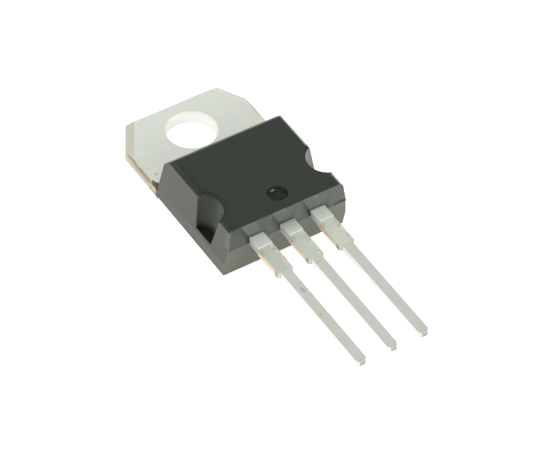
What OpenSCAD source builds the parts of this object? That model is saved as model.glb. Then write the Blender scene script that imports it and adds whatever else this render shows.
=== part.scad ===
// Three-lead voltage regulator in a moulded power package with a bolt-down tab.
// It lies on its flat back. Z is up, the tab points along +Y and the leads along -Y.
// The origin is the centre of the mounting hole, on the back of the tab.

/* [Tab] */
// Width of the tab
tab_w = 10.16; // [10:0.02:10.4]
// Thickness of the tab
tab_t = 1.27; // [1.2:0.01:1.35]
// Hole centre to the free end of the tab
tab_end = 2.8; // [2.65:0.05:2.95]
// Diameter of the mounting hole
hole_d = 3.84; // [3.6:0.02:3.9]
// Width of each cut corner, across the tab
corner_w = 1.17; // [0.9:0.03:1.4]
// Length of each cut corner, along the tab
corner_l = 1.95; // [1.5:0.05:2.2]
// Width of the bevel pressed along each cut corner
coin_w = 0.62; // [0.4:0.02:0.8]
// Drop of that bevel at the edge
coin_drop = 0.08; // [0.04:0.01:0.14]
// Length of the slanted cut above each tie bar, beside the body
tie_l = 0.8; // [0.6:0.05:1]
// Depth of that cut at the body, into the edge of the tab
tie_cut = 0.36; // [0.2:0.02:0.5]
// Height of the tie bar that is left
tie_h = 0.87; // [0.6:0.01:1]

/* [Die pad] */
// Width of the die pad, the part of the copper inside the body
pad_w = 8.6; // [8:0.1:9]
// Length of the die pad inside the body
pad_l = 7; // [6.6:0.1:7.2]
// Step under each long edge of the die pad, which the moulding grips
grip_w = 0.35; // [0.2:0.05:0.5]
// Height of that step above the back
grip_h = 0.4; // [0.25:0.05:0.6]

/* [Body] */
// Hole centre to the foot of the body
body_start = 3.7; // [3.5:0.05:3.9]
// Length of the body at its parting line
body_l = 9.1; // [8.9:0.1:9.4]
// How far each long side of the body stands out past the side of the tab
body_side = 0; // [0:0.01:0.1]
// Height of the body
body_h = 4.4; // [4.3:0.05:4.6]
// Draft of the two long sides
draft_side = 7.8; // [5:0.2:9]
// Draft of the wall that faces the hole
draft_tab = 6; // [4:0.5:9]
// Leg of the 45 degree bevel along the top edge that faces the hole
end_bevel = 0.8; // [0.5:0.05:0.9]
// Draft of the wall at the leads, above and below the parting line
draft_lead = 7; // [5:0.5:9]
// Draft of the long sides below the level of the tab
draft_low = 3.5; // [2:0.5:6]
// Radius along the long top edges
round_side = 0.4; // [0.2:0.05:0.5]
// Radius along both edges of that bevel
round_end = 0.15; // [0.1:0.05:0.3]
// Radius along the top edge over the leads
round_lead = 0.1; // [0.06:0.02:0.14]
// Step in the wall at the parting line
mould_step = 0.05; // [0.03:0.01:0.1]

/* [Side notches] */
// Centre of each notch, measured back from the lead end of the body
notch_back = 3.08; // [2.9:0.02:3.2]
// Centre of each notch, measured out from the widest part of the body
notch_out = 0.12; // [0:0.02:0.2]
// Radius of each notch at its floor
notch_r = 1; // [0.9:0.05:1.1]
// Draft of the notch wall
notch_draft = 11.5; // [8:0.5:12]
// Plastic left over the level of the tab in each notch
notch_floor = 0.33; // [0.2:0.03:0.45]
// Width of the worn round over along the rim of each notch
notch_rim = 0.18; // [0.1:0.02:0.25]

/* [Ejector mark] */
// Diameter of the round mark on the top
mark_d = 1.54; // [1.3:0.02:1.8]
// Depth of that mark
mark_deep = 0.22; // [0.1:0.02:0.3]
// Centre of that mark, measured back from the lead end of the body
mark_back = 1.75; // [1.5:0.05:1.9]
// How far that mark lies to the side of the output lead
mark_side = 0.18; // [0:0.02:0.3]

/* [Lead pockets] */
// Set-back of the pocket wall above each lead from the parting line
pocket_back = 0.23; // [0.22:0.01:0.3]
// Widening of each pocket towards its mouth, on each side
pocket_flare = 0.45; // [0.3:0.02:0.56]

/* [Leads] */
// Pitch of the leads
pitch = 2.54; // [2.5:0.01:2.6]
// Thickness of the leads
lead_t = 0.5; // [0.48:0.01:0.6]
// Back of the part to the underside of the leads
lead_z = 2.45; // [2.4:0.01:2.6]
// Width of each lead where it leaves the body
root_w = 1.17; // [1.14:0.01:1.25]
// Width of each lead at its shoulder
shoulder_w = 1.28; // [1.26:0.01:1.5]
// Width of the slim part of each lead
lead_w = 0.84; // [0.7:0.01:0.88]
// Parting line to the start of the shoulder
root_l = 1.1; // [0.9:0.05:1.3]
// Parting line to the end of the shoulder
shoulder_l = 3.62; // [3.5:0.02:3.9]
// Parting line to the tip
lead_l = 13.35; // [13:0.05:14]
// Length of the taper from the shoulder to the slim part
shoulder_taper = 0.12; // [0.06:0.02:0.2]
// Step from the thicker root down to the clamped shoulder
root_rise = 0.14; // [0.1:0.01:0.25]
// Length of the tapered tip
tip_l = 0.34; // [0.2:0.02:0.5]
// Width of the tip at its end
tip_w = 0.4; // [0.3:0.02:0.5]
// Drop of the bevel above and below the tip
tip_bevel = 0.12; // [0.06:0.02:0.16]
// Length of that bevel along the lead
tip_bevel_l = 0.18; // [0.1:0.02:0.3]
// Slope of the joggle in the middle lead
joggle = 60; // [50:1:65]
// Length of the flat neck between the die pad and the joggle
neck_l = 0.3; // [0.2:0.05:0.4]

/* [Inside] */
// Width of the bonding post on each outer lead
post_w = 1.9; // [1.7:0.05:2]
// Length of the bonding post on each outer lead
post_l = 1.5; // [1.4:0.05:1.7]
// Gap from the pocket wall to the bonding post
post_gap = 0.65; // [0.55:0.05:0.7]
// Width of the silicon die
die_w = 2.6; // [2.2:0.1:2.8]
// Length of the silicon die
die_l = 2.2; // [2:0.1:2.4]
// Thickness of the silicon die
die_t = 0.3; // [0.25:0.01:0.35]
// Gap from the die to the lead end of the die pad
die_gap = 1.5; // [1.4:0.05:1.8]
// Thickness of the solder under the die
solder_t = 0.05; // [0.03:0.01:0.08]
// Solder that shows around the die
solder_rim = 0.1; // [0.05:0.01:0.15]
// Diameter of the bond wires
wire_d = 0.25; // [0.2:0.01:0.3]
// Length of each flattened wire foot
foot_l = 0.5; // [0.45:0.01:0.6]
// Width of each flattened wire foot
foot_w = 0.34; // [0.32:0.01:0.4]
// Thickness of each flattened wire foot
foot_t = 0.12; // [0.1:0.01:0.15]
// Edge of the die, post or pad to the middle of each wire foot
foot_gap = 0.5; // [0.4:0.05:0.6]
// Height of the loops to the posts, above the line between their feet
post_loop = 1; // [0.9:0.05:1.2]
// Height of the loop to the die pad, above the line between its feet
pad_loop = 0.5; // [0.4:0.05:0.6]

/* [Hidden] */
$fn = 64;
epoxy = [0.21, 0.22, 0.21];
tinned = [0.78, 0.79, 0.77];
silicon = [0.35, 0.37, 0.42];
solder_grey = [0.62, 0.63, 0.64];
wire_grey = [0.83, 0.84, 0.85];

// Reach of a cut beyond the surface that it opens
over = 1;
body_w = tab_w + 2 * body_side;
body_end = body_start + body_l;
lead_top = lead_z + lead_t;
part_z = lead_z + lead_t / 2;
pad_end = body_start + pad_l;
pocket_wall = body_end - pocket_back;
side_rise = body_h - tab_t;
top_half = body_w / 2 - side_rise * tan(draft_side);
base_half = body_w / 2 - tab_t * tan(draft_low);
bevel_z = body_h - end_bevel;
bevel_y = body_start + (bevel_z - tab_t) * tan(draft_tab);
top_lead_y = body_end - (body_h - part_z) * tan(draft_lead);
low_lead_y = body_end - mould_step - part_z * tan(draft_lead);
notch_z = tab_t + notch_floor;
notch_y = body_end - notch_back;
notch_top_r = notch_r + (body_h - notch_z) * tan(notch_draft);
solder_top = tab_t + solder_t;
die_top = solder_top + die_t;
die_y = pad_end - die_gap - die_l / 2;
post_y = pocket_wall - post_gap;
root_top = lead_top + root_rise;
shoulder_y = body_end + root_l;
tip_y = body_end + lead_l;

function unit(v) = v / norm(v);
// Points of an arc that rounds the corner p between the points a and b
function rounded(a, p, b, r, steps = 6) =
    let (u = unit(a - p), w = unit(b - p), half = acos(u * w) / 2,
         centre = p + unit(u + w) * r / sin(half),
         first = p + u * r / tan(half) - centre, last = p + w * r / tan(half) - centre,
         from = atan2(first.y, first.x),
         turn = (atan2(last.y, last.x) - from + 540) % 360 - 180)
    [for (i = [0 : steps]) centre + r * [cos(from + turn * i / steps), sin(from + turn * i / steps)]];

// Stretches a Y and Z outline along X, centred
module along_x(length) {
    rotate([90, 0, 90]) linear_extrude(length, center = true) children();
}

// Stretches an X and Z outline along Y, from the place far to the place near
module along_y(far, near) {
    translate([0, near, 0]) rotate([90, 0, 0]) linear_extrude(near - far) children();
}

// The child and its mirror image across the middle of the part
module both_sides() {
    for (side = [0, 1]) mirror([side, 0, 0]) children();
}

// Body outline seen from the side: bevel towards the hole, parting step at the leads, rounded top edges
module body_side_outline() {
    foot = [-body_start, tab_t];
    bevel_low = [-bevel_y, bevel_z];
    bevel_top = [-bevel_y - end_bevel, body_h];
    top_lead = [-top_lead_y, body_h];
    part_up = [-body_end, part_z];
    polygon(concat(
        [[-body_start, 0], foot],
        rounded(foot, bevel_low, bevel_top, round_end),
        rounded(bevel_low, bevel_top, top_lead, round_end),
        rounded(bevel_top, top_lead, part_up, round_lead),
        [part_up, [-body_end + mould_step, part_z], [-low_lead_y, 0]]));
}

// Body outline seen from the lead end: widest at the level of the tab, rounded top edges
module body_end_outline() {
    waist = [body_w / 2, tab_t];
    top = [top_half, body_h];
    right = concat([[base_half, 0], waist], rounded(waist, top, [0, body_h], round_side));
    polygon(concat(right, [for (i = [len(right) - 1 : -1 : 0]) [-right[i].x, right[i].y]]));
}

// Drafted round notch in the long side, with its worn rim
module side_notch() {
    translate([body_w / 2 + notch_out, -notch_y, notch_z]) {
        cylinder(h = body_h - notch_z, r1 = notch_r, r2 = notch_top_r);
        translate([0, 0, body_h - notch_z - notch_rim])
            cylinder(h = notch_rim + over, r1 = notch_top_r, r2 = notch_top_r + notch_rim + over);
    }
}

// Pocket in the upper wall round one lead, down to the parting line. Its side walls flare outwards,
// and upwards to the next pocket.
module lead_pocket(x) {
    lean = pitch / 2 - root_w / 2;
    rise = body_h - root_top;
    turn = atan2(pocket_flare, pocket_back);
    slope = lean * cos(turn) / rise;
    reach = body_w;
    intersection() {
        translate([x, 0, 0]) {
            intersection_for (side = [-1, 1])
                translate([side * root_w / 2, -pocket_wall, root_top]) rotate([0, 0, side * turn])
                    rotate([90, 0, 0]) linear_extrude(2 * reach, center = true)
                        polygon([[-side * rise * slope, -rise], [side * 2 * rise * slope, 2 * rise],
                                 [-side * reach, 2 * rise], [-side * reach, -rise]]);
        }
        translate([-body_w / 2, -body_end - over, part_z]) cube([body_w, over + pocket_back, body_h]);
    }
}

// The moulding as it looks from outside, before anything is taken out for the metal
module body_form() {
    difference() {
        intersection() {
            along_x(body_w) body_side_outline();
            along_y(-body_end, -body_start) body_end_outline();
        }
        both_sides() side_notch();
        for (i = [-1 : 1]) lead_pocket(i * pitch);
        translate([mark_side, -body_end + mark_back, body_h - mark_deep])
            cylinder(h = mark_deep + over, d = mark_d);
    }
}

module moulded_body() {
    color(epoxy) difference() {
        body_form();
        tab_and_ground_lead();
        input_lead();
        output_lead();
        silicon_die();
        die_solder();
        input_wire();
        output_wire();
        ground_wire();
    }
}

// Bevel pressed along one cut corner of the tab
module corner_coin() {
    slant = atan2(corner_l, corner_w);
    translate([tab_w / 2, tab_end - corner_l, tab_t]) rotate([0, 0, 180 - slant])
        translate([-over, 0, 0]) rotate([90, 0, 90]) linear_extrude(norm([corner_w, corner_l]) + 2 * over)
            polygon([[-over, over], [coin_w, 0], [0, -coin_drop], [-over, -coin_drop * (1 + over / coin_w)]]);
}

// Outer tab, with its cut corners and tie bars
module tab() {
    half = tab_w / 2;
    difference() {
        linear_extrude(tab_t) polygon([
            [half, -body_start], [half, tab_end - corner_l], [half - corner_w, tab_end],
            [corner_w - half, tab_end], [-half, tab_end - corner_l], [-half, -body_start]]);
        translate([0, 0, -over]) cylinder(h = tab_t + 2 * over, d = hole_d);
        both_sides() corner_coin();
        both_sides() translate([half, -body_start, tie_h]) linear_extrude(over)
            polygon([[0, tie_l], [-tie_cut, 0], [-tie_cut, -over], [over, -over], [over, tie_l]]);
    }
}

// Copper under the die, with the step that the moulding grips
module die_pad() {
    along_y(-pad_end, -body_start) polygon([
        [pad_w / 2 - grip_w, 0], [pad_w / 2 - grip_w, grip_h], [pad_w / 2, grip_h], [pad_w / 2, tab_t],
        [-pad_w / 2, tab_t], [-pad_w / 2, grip_h], [grip_w - pad_w / 2, grip_h], [grip_w - pad_w / 2, 0]]);
}

// Plan of one lead from a place inside the body to its tip
module lead_outline(x, inner) {
    slim_y = body_end + shoulder_l;
    right = [[root_w / 2, -inner], [root_w / 2, -shoulder_y], [shoulder_w / 2, -shoulder_y],
             [shoulder_w / 2, -slim_y], [lead_w / 2, -slim_y - shoulder_taper],
             [lead_w / 2, -tip_y + tip_l], [tip_w / 2, -tip_y]];
    translate([x, 0]) polygon(concat(right, [for (i = [len(right) - 1 : -1 : 0]) [-right[i].x, right[i].y]]));
}

// Side outline of a lead outside the body: thicker root, clamped shoulder and bevelled tip
module lead_side_outline(inner) {
    tip_start = tip_y - tip_bevel_l;
    polygon([[-inner, lead_z], [-inner, root_top], [-shoulder_y, root_top],
             [-shoulder_y, lead_top], [-tip_start, lead_top], [-tip_y, lead_top - tip_bevel],
             [-tip_y, lead_z + tip_bevel], [-tip_start, lead_z]]);
}

// One outer lead, with the bonding post that the moulding holds
module outer_lead(x) {
    intersection() {
        union() {
            translate([0, 0, lead_z]) linear_extrude(root_top - lead_z) lead_outline(x, post_y - post_l / 2);
            translate([x - post_w / 2, -post_y, lead_z]) cube([post_w, post_l, root_top - lead_z]);
        }
        along_x(2 * tab_w) lead_side_outline(post_y - post_l);
    }
}

// Middle lead, joggled up from the die pad
module middle_lead() {
    run = (root_top - tab_t) / tan(joggle);
    bend = lead_t / 2 * tan(joggle / 2);
    low = -pad_end - neck_l;
    intersection() {
        translate([0, 0, tab_t - lead_t]) linear_extrude(lead_z + 2 * lead_t) lead_outline(0, pad_end);
        union() {
            along_x(tab_w) polygon([
                [-pad_end, tab_t - lead_t], [-pad_end, tab_t], [low + bend, tab_t],
                [low - run + bend, root_top], [-pocket_wall, root_top],
                [-pocket_wall, lead_z], [low - run - bend, lead_z], [low - bend, tab_t - lead_t]]);
            along_x(tab_w) lead_side_outline(pocket_wall);
        }
    }
}

// Tab, die pad and middle lead are one stamping
module tab_and_ground_lead() {
    color(tinned) union() {
        tab();
        die_pad();
        middle_lead();
    }
}

module input_lead() {
    color(tinned) outer_lead(-pitch);
}

module output_lead() {
    color(tinned) outer_lead(pitch);
}

module die_solder() {
    color(solder_grey) translate([-die_w / 2 - solder_rim, -die_y - die_l / 2 - solder_rim, tab_t])
        cube([die_w + 2 * solder_rim, die_l + 2 * solder_rim, solder_t]);
}

module silicon_die() {
    color(silicon) translate([-die_w / 2, -die_y - die_l / 2, solder_top]) cube([die_w, die_l, die_t]);
}

// Flattened foot of a wire, pressed onto the surface below it
module wire_foot() {
    linear_extrude(foot_t) union() {
        square([foot_l - foot_w, foot_w], center = true);
        for (end = [-1, 1]) translate([end * (foot_l - foot_w) / 2, 0]) circle(d = foot_w);
    }
}

// Block whose top lies at the height z, from the place x along a wire
module block_below(x, z, size) {
    translate([x, -size / 2, z - size]) cube(size);
}

// Bond wire: a round arc between two flattened feet, on surfaces of two heights
module bond_wire(from, to, rise) {
    heading = atan2(to.y - from.y, to.x - from.x);
    span = norm([to.x - from.x, to.y - from.y]);
    first = [0, foot_t / 2];
    last = [span, to.z - from.z + foot_t / 2];
    chord = last - first;
    radius = (rise * rise + chord * chord / 4) / (2 * rise);
    centre = (first + last) / 2 + unit([chord.y, -chord.x]) * (radius - rise);
    start = atan2(first.y - centre.y, first.x - centre.x);
    finish = atan2(last.y - centre.y, last.x - centre.x);
    turn = (start - finish + 360) % 360;
    room = 2 * span;
    translate(from) rotate([0, 0, heading]) {
        wire_foot();
        translate([span, 0, last.y - foot_t / 2]) wire_foot();
        difference() {
            translate([centre.x, 0, centre.y]) rotate([90, -finish, 0])
                rotate_extrude(angle = turn) translate([radius, 0]) circle(d = wire_d);
            block_below(span / 2 - room, 0, room);
            block_below(span / 2, last.y - foot_t / 2, room);
        }
    }
}

// Wire from the die to the bonding post on one side of the middle
module post_wire(side) {
    color(wire_grey) bond_wire([side * (die_w / 2 - foot_gap), -die_y - die_l / 2 + foot_gap, die_top],
                               [side * pitch, -post_y + post_l - foot_gap, root_top], post_loop);
}

module input_wire() {
    post_wire(-1);
}

module output_wire() {
    post_wire(1);
}

module ground_wire() {
    color(wire_grey) bond_wire([0, -die_y - die_l / 2 + foot_gap, die_top],
                               [0, -pad_end + foot_gap, tab_t], pad_loop);
}

moulded_body();
tab_and_ground_lead();
input_lead();
output_lead();
silicon_die();
die_solder();
input_wire();
output_wire();
ground_wire();
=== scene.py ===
from math import cos, radians, sin

import bmesh
import bpy
from mathutils import Matrix, Vector


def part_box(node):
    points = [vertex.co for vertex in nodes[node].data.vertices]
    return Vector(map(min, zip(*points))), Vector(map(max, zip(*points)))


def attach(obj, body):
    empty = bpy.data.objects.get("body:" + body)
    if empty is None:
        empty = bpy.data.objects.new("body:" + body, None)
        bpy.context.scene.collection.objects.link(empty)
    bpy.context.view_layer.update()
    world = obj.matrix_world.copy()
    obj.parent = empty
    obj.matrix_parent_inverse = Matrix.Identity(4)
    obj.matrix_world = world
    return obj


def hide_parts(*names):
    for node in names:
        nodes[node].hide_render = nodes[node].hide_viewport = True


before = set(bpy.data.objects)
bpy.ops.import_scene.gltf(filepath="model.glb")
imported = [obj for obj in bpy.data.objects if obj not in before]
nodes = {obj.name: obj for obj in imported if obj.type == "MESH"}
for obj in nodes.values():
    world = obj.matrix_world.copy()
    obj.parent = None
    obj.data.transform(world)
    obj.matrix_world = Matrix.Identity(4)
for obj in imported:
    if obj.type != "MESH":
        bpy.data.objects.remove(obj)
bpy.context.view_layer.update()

MM = 0.001

# The view of the photograph: where the lens axis meets the ground, and the camera seen from there
PHOTO_WIDTH = 540
CAMERA_AIM = (0.43 * MM, -9.97 * MM, 0)
CAMERA_DISTANCE = 239.3 * MM
CAMERA_AZIMUTH = -34.56
CAMERA_ELEVATION = 46.62
CAMERA_ROLL = -2.77
CAMERA_FOCUS = 3367.7
SENSOR = 36
CLIP_NEAR = 10 * MM
CLIP_FAR = 10

# White ground and a white tent round it, with two of its walls lit. Lengths are in metres.
FLOOR_SIZE = 1.2
PAPER = 0.8
PAPER_GLOW = 0.6
PAPER_GLOW_IN_MIRRORS = 0.25
TENT_GLOW = 0.8
LAMP_ELEVATION = 28
LAMP_DISTANCE = 0.6
LAMP_SIZE = 0.8
LAMP_POWER = 2.4


def corners(node):
    """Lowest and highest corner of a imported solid, in millimetres."""
    return [Vector(corner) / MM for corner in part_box(node)]


body_low, body_high = corners("moulded_body")
tab_high = corners("tab_and_ground_lead")[1]
lead_low = corners("output_lead")[0]

# Places on the part in millimetres, with the leads towards -Y
TAB_TOP = 1.27
TIE_BAR_TOP = 0.87
TAB_END = tab_high.y
TAB_SIDE = tab_high.x
BODY_START = -3.7
BODY_END = body_low.y
BODY_TOP = body_high.z
PARTING = 2.7
PITCH = 2.54
WALL_AT_LEADS = BODY_END + 0.23
LEAD_END_FADE = (-12.0, -12.4)
LEAD_END_CORNERS = -12.3
SHOULDER_START = BODY_END - 1.1
SHOULDER_END = BODY_END - 3.62
SHOULDER_TOP = 2.95
ROOT_TOP = 3.09
TIP = lead_low.y
CORNER_WIDTH = 1.17
CORNER_LENGTH = 1.95
COIN_WIDTH = 0.62
HOLE_RADIUS = 1.92
SIDE_SLOPE = 0.137
NOTCH_X = 5.2
NOTCH_Y = -9.72
NOTCH_RIM = 1.74
NOTCH_SHADE = (2.3, 1.6)
MARK_X = 0.18
MARK_Y = -11.05
MARK_RADIUS = 0.77

# Widths of the softened edges, in millimetres
BODY_CORNER_SOFT = 0.14
TAB_EDGE_SOFT = 0.07
HOLE_EDGE_SOFT = 0.06
LEAD_EDGE_SOFT = 0.045

# How far the ground lies below the flat back, so that the two don't share a plane
FLOOR_GAP = 0.01


def tone(red, green, blue):
    """Linear colour from the tones 0 to 255 that a screen shows."""
    def linear(v):
        v /= 255
        return v / 12.92 if v <= 0.04045 else ((v + 0.055) / 1.055) ** 2.4
    return (linear(red), linear(green), linear(blue), 1)


def direction(azimuth, elevation):
    """Unit vector from the part towards a place round it. Azimuth 0 lies on the lead side."""
    a, e = radians(azimuth), radians(elevation)
    return Vector((sin(a) * cos(e), -cos(a) * cos(e), sin(e)))


def make_camera():
    """Long lens above the leads, turned as in the photograph."""
    data = bpy.data.cameras.new("photo_camera")
    data.sensor_width = SENSOR
    data.lens = CAMERA_FOCUS / PHOTO_WIDTH * SENSOR
    data.clip_start = CLIP_NEAR
    data.clip_end = CLIP_FAR
    camera = bpy.data.objects.new("photo_camera", data)
    bpy.context.scene.collection.objects.link(camera)
    back = direction(CAMERA_AZIMUTH, CAMERA_ELEVATION)
    camera.location = Vector(CAMERA_AIM) + back * CAMERA_DISTANCE
    level = back.to_track_quat("Z", "Y").to_matrix().to_4x4()
    roll = Matrix.Rotation(radians(-CAMERA_ROLL), 4, back)
    camera.rotation_mode = "QUATERNION"
    camera.rotation_quaternion = (roll @ level).to_quaternion()
    bpy.context.scene.camera = camera


class Graph:
    """A node tree, with short ways to add nodes and to join them."""

    def __init__(self, tree):
        self.tree = tree
        self.tree.nodes.clear()

    def node(self, kind, values=None, **settings):
        made = self.tree.nodes.new("ShaderNode" + kind)
        for name, value in settings.items():
            setattr(made, name, value)
        for socket, value in (values or {}).items():
            self.put(made, socket, value)
        return made

    def put(self, made, socket, value):
        """Links the socket where the value is another socket, and sets it otherwise."""
        if isinstance(value, bpy.types.NodeSocket):
            self.tree.links.new(value, made.inputs[socket])
        else:
            made.inputs[socket].default_value = value

    def math(self, operation, a, b=0.0, clamp=False):
        return self.node("Math", {0: a, 1: b}, operation=operation, use_clamp=clamp).outputs[0]

    def plus(self, a, b):
        return self.math("ADD", a, b)

    def minus(self, a, b):
        return self.math("SUBTRACT", a, b)

    def times(self, *values):
        product = values[0]
        for value in values[1:]:
            product = self.math("MULTIPLY", product, value)
        return product

    def either(self, *masks):
        """Where any of the masks is on."""
        most = masks[0]
        for mask in masks[1:]:
            most = self.math("MAXIMUM", most, mask)
        return most

    def span(self, value, low, high, to_low=0.0, to_high=1.0):
        """Takes the value from its range low to high over to a new range, with soft ends."""
        made = self.node("MapRange", {0: value, 1: low, 2: high, 3: to_low, 4: to_high},
                         interpolation_type="SMOOTHSTEP")
        return made.outputs[0]

    def band(self, value, low, high, soft):
        """Mask of the values between low and high, which fades over the width soft."""
        above_low = self.span(value, low - soft, low + soft)
        below_high = self.span(value, high + soft, high - soft)
        return self.times(above_low, below_high)

    def mix(self, mask, a, b):
        """Colour that goes from a to b as the mask comes on."""
        made = self.node("Mix", data_type="RGBA")
        self.put(made, 0, mask)
        self.put(made, 6, a)
        self.put(made, 7, b)
        return made.outputs[2]

    def scale(self, vector, factor):
        made = self.node("VectorMath", {0: vector, "Scale": factor}, operation="SCALE")
        return made.outputs["Vector"]

    def vector(self, operation, a, b):
        return self.node("VectorMath", {0: a, 1: b}, operation=operation).outputs["Vector"]

    def length(self, vector):
        return self.node("VectorMath", {0: vector}, operation="LENGTH").outputs["Value"]

    def blend(self, mask, a, b):
        """Number that goes from a to b as the mask comes on."""
        made = self.node("Mix")
        self.put(made, 0, mask)
        self.put(made, 2, a)
        self.put(made, 3, b)
        return made.outputs[0]

    def noise(self, place, scale, detail=2.0, roughness=0.5):
        values = {"Vector": place, "Scale": scale, "Detail": detail, "Roughness": roughness}
        return self.node("TexNoise", values).outputs[0]

    def stretched(self, place, scale):
        """The place, scaled by its own factor along each axis."""
        return self.node("Mapping", {"Vector": place, "Scale": scale}).outputs[0]

    def parts(self, vector):
        made = self.node("SeparateXYZ", {0: vector})
        return made.outputs["X"], made.outputs["Y"], made.outputs["Z"]

    def millimetres(self):
        """The place on the part, in millimetres."""
        return self.scale(self.node("TexCoord").outputs["Object"], 1 / MM)

    def facing(self):
        """The way that the surface faces: across, along and up."""
        return self.parts(self.node("NewGeometry").outputs["True Normal"])

    def beside_lead(self, x):
        """How far a place lies to the right of the middle of the nearest lead."""
        lane = self.math("ROUND", self.math("DIVIDE", x, PITCH))
        return self.minus(x, self.times(lane, PITCH))

    def effect(self, group, **values):
        """Places a shared effect. Its outputs are found by name."""
        made = self.tree.nodes.new("ShaderNodeGroup")
        made.node_tree = group
        for name, value in values.items():
            self.put(made, name, value)
        return made.outputs


class Finish(Graph):
    """A material with one Principled surface."""

    def __init__(self, name, **constants):
        self.material = bpy.data.materials.new(name)
        self.material.use_nodes = True
        super().__init__(self.material.node_tree)
        self.surface = self.node("BsdfPrincipled")
        for socket, value in constants.items():
            self.surface.inputs[socket].default_value = value
        self.put(self.node("OutputMaterial"), "Surface", self.surface.outputs[0])

    def set(self, colour, roughness, height, depth, metal=None):
        """Colour, roughness, relief and bare metal. The depth is in millimetres."""
        self.put(self.surface, "Base Color", colour)
        self.put(self.surface, "Roughness", roughness)
        if metal is not None:
            self.put(self.surface, "Metallic", metal)
        bump = self.node("Bump", {"Height": height, "Distance": depth * MM, "Strength": 1.0})
        self.put(self.surface, "Normal", bump.outputs[0])
        return self.material


class Effect(Graph):
    """A shared node group, with named inputs and outputs."""

    def __init__(self, name, takes, gives):
        self.group = bpy.data.node_groups.new(name, "ShaderNodeTree")
        super().__init__(self.group)
        for socket, kind in takes.items():
            self.group.interface.new_socket(socket, in_out="INPUT", socket_type="NodeSocket" + kind)
        for socket, kind in gives.items():
            self.group.interface.new_socket(socket, in_out="OUTPUT", socket_type="NodeSocket" + kind)
        self.given = self.tree.nodes.new("NodeGroupInput").outputs
        self.result = self.tree.nodes.new("NodeGroupOutput")

    def give(self, **values):
        for name, value in values.items():
            self.put(self.result, name, value)
        return self.group


def make_grain():
    """Fine relief with slower clouds under it. Size is the number of grains in a millimetre."""
    takes = {"Place": "Vector", "Size": "Float"}
    effect = Effect("fine_grain", takes, {"Height": "Float", "Clouds": "Float"})
    place, size = effect.given["Place"], effect.given["Size"]
    grain = effect.noise(place, size, detail=3.0, roughness=0.6)
    clouds = effect.noise(place, effect.times(size, 0.11), detail=3.0, roughness=0.55)
    return effect.give(Height=grain, Clouds=clouds)


def make_scratches():
    """Mask of fine straight scratches. Run stretches the place along the scratches."""
    takes = {"Place": "Vector", "Run": "Vector", "Share": "Float"}
    effect = Effect("fine_scratches", takes, {"Mask": "Float"})
    place = effect.given["Place"]
    run = effect.vector("MULTIPLY", place, effect.given["Run"])
    lines = effect.noise(run, 1.0, detail=2.0, roughness=0.6)
    limit = effect.minus(0.80, effect.times(effect.given["Share"], 0.3))
    lines = effect.math("MULTIPLY", effect.minus(lines, limit), 14.0, clamp=True)
    patches = effect.span(effect.noise(place, 0.55, detail=1.0), 0.42, 0.62)
    return effect.give(Mask=effect.times(lines, patches))


def make_patch():
    """Mask of a ragged patch round a place."""
    takes = {"Place": "Vector", "Centre": "Vector", "Reach": "Vector", "Ragged": "Float"}
    effect = Effect("ragged_patch", takes, {"Mask": "Float"})
    place = effect.given["Place"]
    away = effect.vector("SUBTRACT", place, effect.given["Centre"])
    away = effect.length(effect.vector("DIVIDE", away, effect.given["Reach"]))
    torn = effect.minus(effect.noise(place, 5.0, detail=3.0), 0.5)
    torn = effect.times(torn, effect.given["Ragged"])
    return effect.give(Mask=effect.span(effect.plus(away, torn), 1.15, 0.65))


def make_rub():
    """Mask of the outer edges, from how far a rounded normal leans away from the true one."""
    effect = Effect("rubbed_edges", {"Place": "Vector", "Amount": "Float"}, {"Mask": "Float"})
    soft = effect.node("Bevel", {"Radius": 0.07 * MM}, samples=4).outputs["Normal"]
    true = effect.node("NewGeometry").outputs["True Normal"]
    lean = effect.node("VectorMath", {0: soft, 1: true}, operation="DOT_PRODUCT").outputs["Value"]
    edge = effect.span(lean, 0.99, 0.86)
    uneven = effect.span(effect.noise(effect.given["Place"], 3.1, detail=3.0), 0.35, 0.65, 0.25, 1.0)
    return effect.give(Mask=effect.times(edge, uneven, effect.given["Amount"]))


def make_dust():
    """Mask of a few round specks."""
    effect = Effect("dust_specks", {"Place": "Vector", "Count": "Float"}, {"Mask": "Float"})
    cells = effect.node("TexVoronoi", {"Vector": effect.given["Place"], "Scale": effect.given["Count"],
                                       "Randomness": 1.0})
    pick = effect.math("GREATER_THAN", effect.parts(cells.outputs["Color"])[0], 0.8)
    return effect.give(Mask=effect.times(effect.span(cells.outputs["Distance"], 0.14, 0.06), pick))


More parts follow.
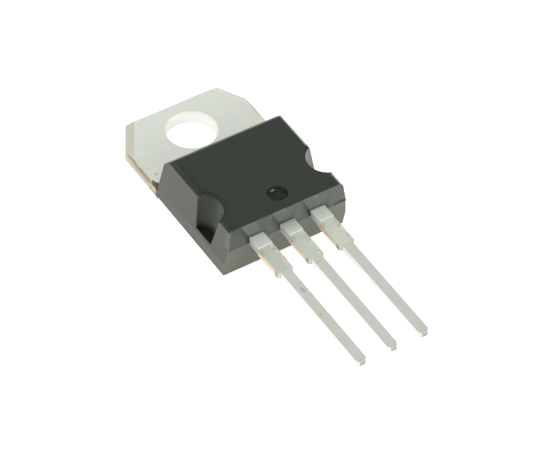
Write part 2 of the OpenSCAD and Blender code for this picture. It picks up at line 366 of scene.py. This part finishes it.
def black_moulding():
    """Filled epoxy: a dark top that the mould left smooth, and paler drafted walls, semi-gloss."""
    finish = Finish("black_moulding", IOR=1.5)
    place = finish.millimetres()
    x, y, z = finish.parts(place)
    across, along, up = finish.facing()
    side = finish.math("ABSOLUTE", x)
    grain = finish.effect(GRAIN, Place=place, Size=14.0)
    behind = finish.span(y, WALL_AT_LEADS + 0.05, WALL_AT_LEADS + 0.12)
    top = finish.either(finish.span(up, 0.86, 0.94), finish.times(behind, finish.span(up, 0.24, 0.45)))
    at_leads = finish.span(y, *LEAD_END_FADE)
    lead_wall = finish.times(finish.span(along, -0.5, -0.8), at_leads)
    below = finish.times(lead_wall, finish.span(z, PARTING + 0.01, PARTING - 0.01))

    # Walls, with a pocket over each lead, painted shade and light on its flanks, a painted reflection and
    # highlight over each lead, and painted shadows at the parting by the leads
    to_output = finish.span(x, -4.2, 0.5)
    above = finish.mix(to_output, (0.058, 0.069, 0.052, 1), (0.086, 0.097, 0.079, 1))
    under = finish.mix(to_output, (0.112, 0.118, 0.092, 1), (0.138, 0.144, 0.114, 1))
    wall = finish.mix(lead_wall, (0.060, 0.067, 0.046, 1), above)
    wall = finish.mix(below, wall, under)
    steep = finish.times(at_leads, finish.span(z, PARTING, PARTING + 0.05), finish.span(up, 0.8, 0.6))
    # Painted shade on the left flank of each pocket, the flank that faces right
    left_flank_shade = finish.times(finish.span(across, 0.2, 0.42), steep)
    wall = finish.mix(left_flank_shade, wall, (0.045, 0.053, 0.041, 1))
    # Painted light on the right flank of each pocket, so it reads as lit as the wall beside it
    right_flank = finish.times(finish.span(across, -0.2, -0.42), steep)
    right_flank_lit_tone = finish.mix(to_output, (0.086, 0.098, 0.080, 1), (0.098, 0.110, 0.091, 1))
    wall = finish.mix(right_flank, wall, right_flank_lit_tone)
    # Painted reflection of each lead's root, a paler band leaning up from the lead on the wall
    risen = finish.minus(z, ROOT_TOP)
    offset = finish.plus(finish.beside_lead(x), finish.times(risen, 0.5))
    root_reflection = finish.times(finish.band(offset, -0.56, 0.56, 0.06), finish.span(risen, 0.02, 0.1),
                             lead_wall, finish.span(side, 3.9, 3.7))
    wall = finish.mix(root_reflection, wall, (0.122, 0.132, 0.119, 1))
    # Painted highlight along the top edge over each lead
    lip_highlight = finish.times(root_reflection, finish.span(z, BODY_TOP - 0.14, BODY_TOP - 0.08))
    wall = finish.mix(finish.times(lip_highlight, 0.6), wall, (0.17, 0.18, 0.16, 1))
    # Painted shadow under the parting step, right of the right-hand lead
    step_shadow = finish.effect(PATCH, Place=place, Centre=(4.45, BODY_END, PARTING + 0.1),
                          Reach=(0.62, 0.3, 0.17), Ragged=0.7)["Mask"]
    wall = finish.mix(finish.times(step_shadow, 0.9), wall, (0.010, 0.012, 0.009, 1))
    # Painted shadow line along the parting at the leads
    parting_shadow = finish.times(finish.band(z, PARTING - 0.015, PARTING + 0.035, 0.015), at_leads)
    wall = finish.mix(finish.times(parting_shadow, 0.8), wall, (0.012, 0.014, 0.010, 1))

    # Round notches in the long sides, with painted shade on the tab side of their walls and at their feet,
    # and a painted highlight on the lit wall of the right notch
    from_notch = finish.node("CombineXYZ", {0: finish.minus(side, NOTCH_X),
                                            1: finish.minus(y, NOTCH_Y)}).outputs[0]
    from_notch = finish.length(from_notch)
    lean = finish.times(finish.minus(z, TAB_TOP), SIDE_SLOPE)
    depth = finish.minus(finish.minus(TAB_SIDE, lean), side)
    in_notch = finish.times(finish.span(from_notch, NOTCH_RIM, NOTCH_RIM - 0.04),
                            finish.span(up, 0.9, 0.8), finish.span(z, 1.2, 1.5),
                            finish.span(depth, 0.02, 0.08))
    # Painted shade on the tab side of the notch wall, paler towards the leads
    notch_wall_shading = finish.mix(finish.span(y, NOTCH_Y + 0.9, NOTCH_Y - 0.5), (0.021, 0.025, 0.014, 1),
                            (0.056, 0.068, 0.058, 1))
    # Painted highlight on the tab side of the right notch's wall
    lit_side = finish.times(finish.span(x, -1.0, 1.0), finish.span(y, NOTCH_Y - 0.3, NOTCH_Y + 0.5))
    notch_wall_shading = finish.mix(lit_side, notch_wall_shading, (0.22, 0.23, 0.195, 1))
    # Painted shade at the feet of the notches
    notch_shade = finish.span(z, *NOTCH_SHADE)
    notch_wall_shading = finish.mix(notch_shade, notch_wall_shading, (0.0015, 0.003, 0.0007, 1))
    wall = finish.mix(in_notch, wall, notch_wall_shading)

    # Smooth top over the walls, darker inside its left edge, with a painted highlight along its right edge
    # and painted shade on the notch floors
    colour = finish.mix(top, wall, (0.0075, 0.0140, 0.0070, 1))
    dark_band = finish.times(top, finish.band(x, -4.42, -4.05, 0.14))
    colour = finish.mix(finish.times(dark_band, 0.6), colour, (0.004, 0.008, 0.004, 1))
    # Painted highlight along the rounded right edge of the top
    right_edge_highlight = finish.times(finish.span(across, 0.15, 0.6), finish.span(up, 0.2, 0.45),
                              finish.span(z, 3.8, 4.0),
                              finish.span(y, BODY_START, BODY_START - 0.2),
                              finish.span(from_notch, NOTCH_RIM + 0.02, NOTCH_RIM + 0.08))
    colour = finish.mix(finish.times(right_edge_highlight, 0.85), colour, (0.40, 0.41, 0.37, 1))
    # Painted shade on the up-facing floors at the feet of the notches
    colour = finish.mix(finish.times(top, notch_shade), colour, (0.002, 0.003, 0.001, 1))

    # Round ejector mark, with a torn floor and a painted highlight on its far side
    from_mark = finish.length(finish.vector("SUBTRACT", place, (MARK_X, MARK_Y, BODY_TOP)))
    pit = finish.span(from_mark, MARK_RADIUS + 0.04, MARK_RADIUS - 0.02)
    pit = finish.times(pit, finish.span(z, BODY_TOP - 0.01, BODY_TOP - 0.05))
    torn = finish.noise(place, 4.0, detail=4.0, roughness=0.7)
    colour = finish.mix(pit, colour, finish.mix(finish.span(torn, 0.45, 0.7), (0.004, 0.008, 0.004, 1),
                                                (0.019, 0.029, 0.019, 1)))
    # Painted highlight inside the pit, on its far side
    painted_glint = finish.effect(PATCH, Place=place, Centre=(MARK_X - 0.05, MARK_Y + 0.56, BODY_TOP - 0.2),
                          Reach=(0.19, 0.11, 0.3), Ragged=1.2)["Mask"]
    colour = finish.mix(finish.times(painted_glint, pit, 0.7), colour, (0.22, 0.24, 0.20, 1))

    # Clouds, less of them at the leads, and wear
    even = finish.minus(1.0, finish.times(lead_wall, 0.8))
    tint = finish.span(grain["Clouds"], 0.3, 0.7, -0.07, 0.07)
    tint = finish.plus(1.0, finish.times(tint, even))
    colour = finish.scale(colour, tint)
    rub = finish.effect(RUB, Place=place, Amount=0.35)["Mask"]
    rub = finish.times(rub, finish.span(from_notch, NOTCH_RIM, NOTCH_RIM + 0.2), finish.minus(1.0, pit))
    colour = finish.mix(rub, colour, (0.11, 0.12, 0.10, 1))
    scratch = finish.effect(SCRATCHES, Place=place, Run=(2.1, 30.0, 9.0), Share=0.35)["Mask"]
    colour = finish.mix(finish.times(scratch, top, 0.15), colour, (0.06, 0.07, 0.06, 1))
    dust = finish.effect(DUST, Place=place, Count=1.7)["Mask"]
    colour = finish.mix(finish.times(dust, top, 0.12), colour, (0.3, 0.3, 0.3, 1))

    rough = finish.blend(top, finish.blend(lead_wall, 0.36, 0.26), 0.47)
    rough = finish.either(rough, finish.times(in_notch, 0.6), finish.times(pit, 0.85))
    uneven = finish.times(finish.span(grain["Clouds"], 0.3, 0.7, -0.03, 0.03), even)
    relief = finish.plus(grain["Height"], finish.times(pit, torn, 12.0))
    return finish.set(colour, finish.plus(rough, uneven), relief, depth=0.0014)


def tinned_copper():
    """Plated copper: dull tin with soft clouds, worn to bare metal on the cut walls."""
    finish = Finish("tinned_copper")
    place = finish.millimetres()
    x, y, z = finish.parts(place)
    across, along, up = finish.facing()
    side = finish.math("ABSOLUTE", x)
    grain = finish.effect(GRAIN, Place=place, Size=11.0)
    clouds = finish.span(grain["Clouds"], 0.32, 0.68)
    left = finish.span(across, -0.35, -0.65)
    flat = finish.span(up, 0.8, 0.95)
    on_tab = finish.span(y, BODY_START - 0.3, BODY_START)
    tab_tin = finish.mix(clouds, tone(222, 227, 218), tone(227, 230, 221))
    tab_tin = finish.mix(finish.span(y, -2.0, 2.6), tab_tin, tone(233, 238, 228))
    lead_tin = finish.mix(clouds, tone(209, 213, 203), tone(214, 218, 207))
    on_back = finish.span(up, -0.8, -0.95)
    colour = finish.mix(finish.either(on_tab, on_back), lead_tin, tab_tin)
    scratch = finish.effect(SCRATCHES, Place=place, Run=(26.0, 1.3, 9.0), Share=0.4)["Mask"]
    scratch = finish.times(scratch, 0.25)
    colour = finish.mix(scratch, colour, tone(200, 202, 192))

    # Bevels pressed along the cut corners of the tab: their own olive and pale tones, with painted shade on
    # the left one and painted light on the right one
    slant = Vector((CORNER_LENGTH, CORNER_WIDTH)).normalized()
    inward = finish.plus(finish.times(finish.minus(TAB_SIDE, side), slant.x),
                         finish.times(finish.minus(TAB_END - CORNER_LENGTH, y), slant.y))
    on_tab_top = finish.times(on_tab, finish.span(up, 0.3, 0.5))
    coin = finish.times(finish.span(inward, COIN_WIDTH + 0.03, COIN_WIDTH - 0.03), on_tab_top)
    fold = finish.times(finish.band(inward, COIN_WIDTH - 0.03, COIN_WIDTH + 0.02, 0.03), on_tab_top)
    left_coin_shade = finish.times(coin, finish.span(x, 0.1, -0.1))
    right_coin_highlight = finish.times(coin, finish.span(x, -0.1, 0.1))
    # Left bevel painted darker as shade and right bevel painted paler as lit, on top of their own tones
    colour = finish.mix(left_coin_shade, colour, tone(214, 217, 200))
    colour = finish.mix(right_coin_highlight, colour, tone(235, 238, 224))
    colour = finish.mix(finish.times(fold, 0.5), colour, tone(196, 200, 182))

    # Sheared left wall of the tab: plated rollover above bare copper, with a dark streak between them and
    # painted shadow in the gap by the body
    tab_wall = finish.times(left, on_tab, finish.span(side, 2.6, 2.8))
    ragged = finish.times(finish.minus(finish.noise(place, 2.6, detail=3.0), 0.5), 0.35)
    height = finish.plus(z, ragged)
    bare = finish.mix(finish.span(y, -1.4, 0.9), tone(180, 178, 158), tone(213, 196, 177))
    bare = finish.mix(finish.span(y, -2.2, -2.9), bare, tone(216, 208, 168))
    rollover = finish.span(height, 0.98, 1.08)
    streak = finish.times(finish.band(height, 0.72, 0.93, 0.06), finish.span(y, 0.9, 0.2))
    wall = finish.mix(rollover, bare, tone(200, 201, 182))
    wall = finish.mix(finish.span(height, 0.5, 0.3), wall, tone(212, 208, 192))
    wall = finish.mix(finish.times(streak, 0.75), wall, tone(134, 122, 98))
    torn = finish.span(finish.noise(place, 5.0, detail=3.0, roughness=0.7), 0.46, 0.58)
    wall = finish.mix(finish.times(torn, finish.span(y, -2.3, -2.7), 0.7), wall, tone(170, 152, 108))
    # Painted shadow on the wall where it meets the body
    shadow_by_body = finish.span(finish.plus(y, ragged), BODY_START + 0.42, BODY_START + 0.2)
    wall = finish.mix(finish.times(shadow_by_body, 0.8), wall, tone(84, 74, 52))
    colour = finish.mix(tab_wall, colour, wall)

    # Cuts over the tie bars, painted dark as shade in the gap by the body, wall of the hole and far edge of
    # the tab
    tie_cut = finish.times(finish.span(y, BODY_START + 0.9, BODY_START + 0.75),
                           finish.span(y, BODY_START - 0.6, BODY_START - 0.3),
                           finish.span(side, TAB_SIDE - 0.5, TAB_SIDE - 0.4),
                           finish.span(z, TIE_BAR_TOP - 0.02, TIE_BAR_TOP - 0.005),
                           finish.span(z, TAB_TOP - 0.02, TAB_TOP - 0.08))
    # Painted shade in the cuts over the tie bars, ragged
    cut_in_shade = finish.mix(torn, tone(50, 42, 24), tone(92, 76, 44))
    colour = finish.mix(finish.times(tie_cut, 0.95), colour, cut_in_shade)
    bore = finish.times(on_tab, finish.band(up, -0.4, 0.4, 0.1), finish.span(side, 2.1, 2.0),
                        finish.span(y, 2.4, 2.2))
    colour = finish.mix(bore, colour, tone(255, 255, 249))
    far_edge = finish.times(finish.span(x, TAB_SIDE - 0.11, TAB_SIDE - 0.05),
                            finish.band(y, -1.9, 0.55, 0.3))
    colour = finish.mix(finish.times(far_edge, 0.7), colour, tone(140, 140, 124))

    # Leads: thicker roots, slim parts, clamped shoulders and a bleed of resin at the body
    out = finish.span(y, BODY_END + 0.4, BODY_END + 0.3)
    shoulder = finish.band(y, SHOULDER_END, SHOULDER_START, 0.03)
    root = finish.times(out, finish.span(y, SHOULDER_START - 0.02, SHOULDER_START + 0.02))
    colour = finish.mix(root, colour, tone(198, 204, 196))
    layers = finish.noise(finish.stretched(place, (1.0, 0.6, 9.0)), 1.0, detail=2.0)
    root_wall = finish.mix(finish.span(layers, 0.4, 0.6), tone(176, 181, 170), tone(206, 212, 202))
    colour = finish.mix(finish.times(root, left), colour, root_wall)
    slim = finish.times(finish.span(y, SHOULDER_END, SHOULDER_END - 0.1), left)
    colour = finish.mix(slim, colour, tone(248, 251, 245))
    shoulder_tin = finish.mix(finish.span(x, -3.0, 3.0), tone(205, 211, 200), tone(218, 224, 211))
    colour = finish.mix(finish.times(shoulder, flat), colour, shoulder_tin)
    bleed = finish.plus(y, finish.times(ragged, 0.35))
    bleed = finish.span(bleed, BODY_END + 0.08, BODY_END + 0.14)
    bleed = finish.times(out, bleed, finish.span(z, PARTING, PARTING + 0.1))
    colour = finish.mix(bleed, colour, (0.13, 0.14, 0.12, 1))

    # Shoulders: cut copper, burnt tin above it, the rolled strip on their right and the lit step
    cut = finish.times(shoulder, left)
    heat = finish.noise(finish.stretched(place, (1.0, 0.9, 1.6)), 1.6, detail=2.0)
    copper = finish.mix(finish.span(heat, 0.4, 0.6), tone(252, 234, 208), tone(255, 226, 208))
    crumbs = finish.span(finish.noise(place, 7.0, detail=2.0, roughness=0.7), 0.48, 0.6)
    crumbs = finish.times(crumbs, finish.span(z, 2.6, 2.85), 0.6)
    copper = finish.mix(crumbs, copper, tone(204, 182, 136))
    copper = finish.mix(finish.span(z, 2.62, 2.52), copper, tone(250, 243, 224))
    cut_end = finish.span(y, SHOULDER_END + 0.45, SHOULDER_END + 0.1)
    copper = finish.mix(cut_end, copper, tone(168, 163, 140))
    colour = finish.mix(cut, colour, copper)
    offset = finish.beside_lead(x)
    at_lead = finish.node("CombineXYZ", {0: offset, 1: y, 2: z}).outputs[0]
    burnt = finish.effect(PATCH, Place=at_lead, Centre=(-0.52, SHOULDER_START - 0.25, SHOULDER_TOP),
                          Reach=(0.2, 0.42, 0.3), Ragged=1.6)["Mask"]
    colour = finish.mix(finish.times(burnt, shoulder, 0.35), colour, tone(182, 168, 140))
    wavy = finish.times(finish.minus(finish.noise(place, 1.4), 0.5), 0.16)
    rolled = finish.times(shoulder, flat, finish.span(finish.plus(offset, wavy), 0.24, 0.34))
    speck = finish.span(finish.noise(place, 4.6, detail=3.0, roughness=0.7), 0.42, 0.55)
    colour = finish.mix(rolled, colour, finish.mix(speck, tone(201, 205, 191), tone(229, 232, 219)))
    lit_step = finish.band(y, SHOULDER_START - 0.04, SHOULDER_START + 0.08, 0.02)
    lit_step = finish.times(out, flat, lit_step)
    colour = finish.mix(finish.times(lit_step, 0.7), colour, tone(240, 243, 235))

    # Sheared tips, where the copper shows
    tip = finish.times(finish.span(y, TIP + 0.08, TIP + 0.02), finish.span(up, 0.7, 0.4))
    colour = finish.mix(finish.times(tip, 0.85), colour, tone(120, 98, 74))
    tip_top = finish.times(finish.span(y, TIP + 0.55, TIP + 0.25), finish.span(up, -0.5, 0.0))
    colour = finish.mix(finish.times(tip_top, 0.45), colour, tone(208, 208, 190))

    # Small handling marks, each as its centre and its reach, and a stain on the tab
    marks = {
        (-2.66, -21.08, SHOULDER_TOP): (0.10, 0.16, 0.2),
        (-2.51, -18.6, SHOULDER_TOP): (0.16, 0.3, 0.2),
        (-2.33, -17.94, SHOULDER_TOP): (0.06, 0.08, 0.2),
        (-0.2, -16.9, SHOULDER_TOP): (0.22, 0.06, 0.2),
        (2.05, TAB_END, TAB_TOP): (0.5, 0.06, 0.2),
        (-4.55, -2.6, TAB_TOP): (0.16, 0.12, 0.2),
    }
    for centre, reach in marks.items():
        mark = finish.effect(PATCH, Place=place, Centre=centre, Reach=reach, Ragged=0.8)["Mask"]
        colour = finish.mix(finish.times(mark, 0.4), colour, tone(150, 148, 134))
    stain = finish.effect(PATCH, Place=place, Centre=(4.75, -1.7, TAB_TOP),
                          Reach=(0.5, 0.8, 0.3), Ragged=1.0)["Mask"]
    colour = finish.mix(finish.times(stain, 0.6), colour, tone(232, 232, 208))

    dull = finish.times(finish.either(rolled, cut, tab_wall, root), 0.16)
    rough = finish.plus(finish.span(grain["Clouds"], 0.3, 0.7, 0.38, 0.46), dull)
    metal = finish.minus(0.85, finish.times(finish.either(root, tie_cut), 0.6))
    metal = finish.times(metal, finish.minus(1.0, bleed))
    relief = finish.plus(grain["Height"], finish.times(rolled, speck, 1.5))
    return finish.set(colour, rough, relief, depth=0.002, metal=metal)


def silicon():
    """Diced silicon with a faint metal grid on its top."""
    finish = Finish("silicon", Metallic=0.6)
    place = finish.millimetres()
    values = {"Vector": place, "Color1": tone(120, 128, 150), "Color2": tone(138, 146, 160),
              "Mortar": tone(190, 190, 182), "Scale": 3.0, "Mortar Size": 0.05,
              "Brick Width": 0.9, "Row Height": 0.5}
    tiles = finish.node("TexBrick", values).outputs
    grain = finish.effect(GRAIN, Place=place, Size=20.0)
    rough = finish.span(grain["Clouds"], 0.3, 0.7, 0.18, 0.3)
    return finish.set(tiles[0], rough, tiles[1], depth=0.002)


def soft_metal(name, dull, bright, size, rough, depth):
    """Metal that varies between two tones with its clouds, such as solder or drawn wire."""
    finish = Finish(name, Metallic=1.0)
    grain = finish.effect(GRAIN, Place=finish.millimetres(), Size=size)
    colour = finish.mix(finish.span(grain["Clouds"], 0.3, 0.7), dull, bright)
    uneven = finish.span(grain["Height"], 0.3, 0.7, rough, rough + 0.12)
    return finish.set(colour, uneven, grain["Height"], depth)


def make_floor():
    """Seamless white ground, seen as bright paper with a faint shadow, and as nothing from below."""
    form = bmesh.new()
    bmesh.ops.create_grid(form, x_segments=1, y_segments=1, size=FLOOR_SIZE)
    bmesh.ops.translate(form, vec=(0, 0, -FLOOR_GAP * MM), verts=form.verts)
    mesh = bpy.data.meshes.new("floor")
    form.to_mesh(mesh)
    form.free()
    floor = bpy.data.objects.new("floor", mesh)
    bpy.context.scene.collection.objects.link(floor)
    material = bpy.data.materials.new("white_paper")
    material.use_nodes = True
    graph = Graph(material.node_tree)
    paper = graph.node("BsdfDiffuse", {"Color": (PAPER, PAPER, PAPER, 1)}).outputs[0]
    rays = graph.node("LightPath").outputs
    mirrored = graph.either(rays["Is Glossy Ray"], rays["Is Transmission Ray"])
    strength = graph.either(graph.times(rays["Is Camera Ray"], PAPER_GLOW),
                            graph.times(mirrored, PAPER_GLOW_IN_MIRRORS))
    glow = graph.node("Emission", {"Color": (1, 1, 1, 1), "Strength": strength}).outputs[0]
    bright = graph.node("AddShader", {0: paper, 1: glow}).outputs[0]
    from_below = graph.node("NewGeometry").outputs["Backfacing"]
    clear = graph.node("BsdfTransparent").outputs[0]
    surface = graph.node("MixShader", {0: from_below, 1: bright, 2: clear}).outputs[0]
    graph.put(graph.node("OutputMaterial"), "Surface", surface)
    mesh.materials.append(material)


def make_light(name, azimuth):
    """Square soft light that faces the part. The metal mirrors only the white tent behind it."""
    data = bpy.data.lights.new(name, "AREA")
    data.shape = "SQUARE"
    data.size = LAMP_SIZE
    data.energy = LAMP_POWER
    light = bpy.data.objects.new(name, data)
    bpy.context.scene.collection.objects.link(light)
    towards = direction(azimuth, LAMP_ELEVATION)
    light.visible_glossy = False
    light.location = Vector(CAMERA_AIM) + towards * LAMP_DISTANCE
    light.rotation_mode = "QUATERNION"
    light.rotation_quaternion = towards.to_track_quat("Z", "Y")


def make_surroundings():
    """White tent round the part, with two of its walls lit."""
    world = bpy.data.worlds.new("white_tent")
    world.use_nodes = True
    tent = world.node_tree.nodes["Background"]
    tent.inputs["Color"].default_value = (1, 1, 1, 1)
    tent.inputs["Strength"].default_value = TENT_GLOW
    bpy.context.scene.world = world
    make_light("left_tent_wall", azimuth=-95)
    make_light("front_tent_wall", azimuth=0)


def merged_copy(node):
    """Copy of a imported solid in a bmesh, with its corners merged and its flat faces whole."""
    form = bmesh.new()
    form.from_mesh(nodes[node].data)
    bmesh.ops.remove_doubles(form, verts=form.verts, dist=0.0001 * MM)
    bmesh.ops.dissolve_limit(form, angle_limit=radians(0.5), verts=form.verts, edges=form.edges)
    return form


def outer_edges(form, wanted, least=30):
    """Edges that stick out by more than the least angle and are wanted, by their ends in millimetres."""
    found = []
    for edge in form.edges:
        if edge.is_manifold and edge.calc_face_angle_signed() > radians(least):
            if wanted(edge.verts[0].co / MM, edge.verts[1].co / MM):
                found.append(edge)
    return found


def soften(form, edges, width, segments=2):
    """Rounds the edges. The width is in millimetres."""
    bmesh.ops.bevel(form, geom=edges, offset=width * MM, offset_type="OFFSET", affect="EDGES",
                    segments=segments, profile=0.5, material=-1, clamp_overlap=True)


def make_piece(name, form, node, material):
    """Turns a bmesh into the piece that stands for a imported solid."""
    mesh = bpy.data.meshes.new(name)
    form.to_mesh(mesh)
    form.free()
    mesh.shade_smooth()
    mesh.set_sharp_from_angle(angle=radians(32))
    mesh.materials.append(material)
    piece = bpy.data.objects.new(name, mesh)
    bpy.context.scene.collection.objects.link(piece)
    weighted = piece.modifiers.new("flat_faces", "WEIGHTED_NORMAL")
    weighted.keep_sharp = True
    weighted.weight = 100
    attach(piece, "root")
    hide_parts(node)


def make_moulding(material):
    """The body, with its upright corners softened."""
    form = merged_copy("moulded_body")

    def is_corner(a, b):
        upright = abs(a.z - b.z) > 3 * max(abs(a.x - b.x), abs(a.y - b.y))
        at_side = min(abs(a.x), abs(b.x)) > 4.3
        at_end = max(a.y, b.y) < LEAD_END_CORNERS or min(a.y, b.y) > -4.1
        return upright and at_side and at_end

    soften(form, outer_edges(form, is_corner), BODY_CORNER_SOFT, segments=3)
    make_piece("moulding", form, "moulded_body", material)


def make_tab(material):
    """The tab with the middle lead: softened rim of the hole, upper outline and lead."""
    form = merged_copy("tab_and_ground_lead")

    def on_hole(p):
        return abs(p.xy.length - HOLE_RADIUS) < 0.03

    def is_outline(a, b):
        on_tab = min(a.y, b.y) > BODY_START - 0.01
        near_top = max(a.z, b.z) > 0.8 and abs(a.z - b.z) < 0.3
        return on_tab and near_top and min(a.xy.length, b.xy.length) > 2.5

    rim = outer_edges(form, lambda a, b: on_hole(a) and on_hole(b) and a.z == b.z)
    soften(form, rim, HOLE_EDGE_SOFT)
    soften(form, outer_edges(form, is_outline, least=50), TAB_EDGE_SOFT)
    lead = outer_edges(form, lambda a, b: max(a.y, b.y) < WALL_AT_LEADS + 0.02)
    soften(form, lead, LEAD_EDGE_SOFT)
    make_piece("tab_with_middle_lead", form, "tab_and_ground_lead", material)


def make_lead(name, node, material):
    """An outer lead, with all its outer edges softened."""
    form = merged_copy(node)
    soften(form, outer_edges(form, lambda a, b: True), LEAD_EDGE_SOFT)
    make_piece(name, form, node, material)


def finish_node(node, material):
    """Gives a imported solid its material."""
    mesh = nodes[node].data
    for slot in range(len(mesh.materials)):
        mesh.materials[slot] = material


make_camera()
GRAIN = make_grain()
SCRATCHES = make_scratches()
PATCH = make_patch()
RUB = make_rub()
DUST = make_dust()
make_floor()
make_surroundings()
make_moulding(black_moulding())
tin = tinned_copper()
make_tab(tin)
make_lead("left_lead", "input_lead", tin)
make_lead("right_lead", "output_lead", tin)
finish_node("silicon_die", silicon())
solder = soft_metal("solder", tone(172, 174, 176), tone(212, 213, 214), size=9.0, rough=0.3, depth=0.003)
finish_node("die_solder", solder)
wire = soft_metal("bond_wire", tone(214, 216, 218), tone(236, 237, 238), size=16.0, rough=0.22, depth=0.001)
for node in ("input_wire", "output_wire", "ground_wire"):
    finish_node(node, wire)

bpy.context.scene.view_settings.view_transform = "Standard"
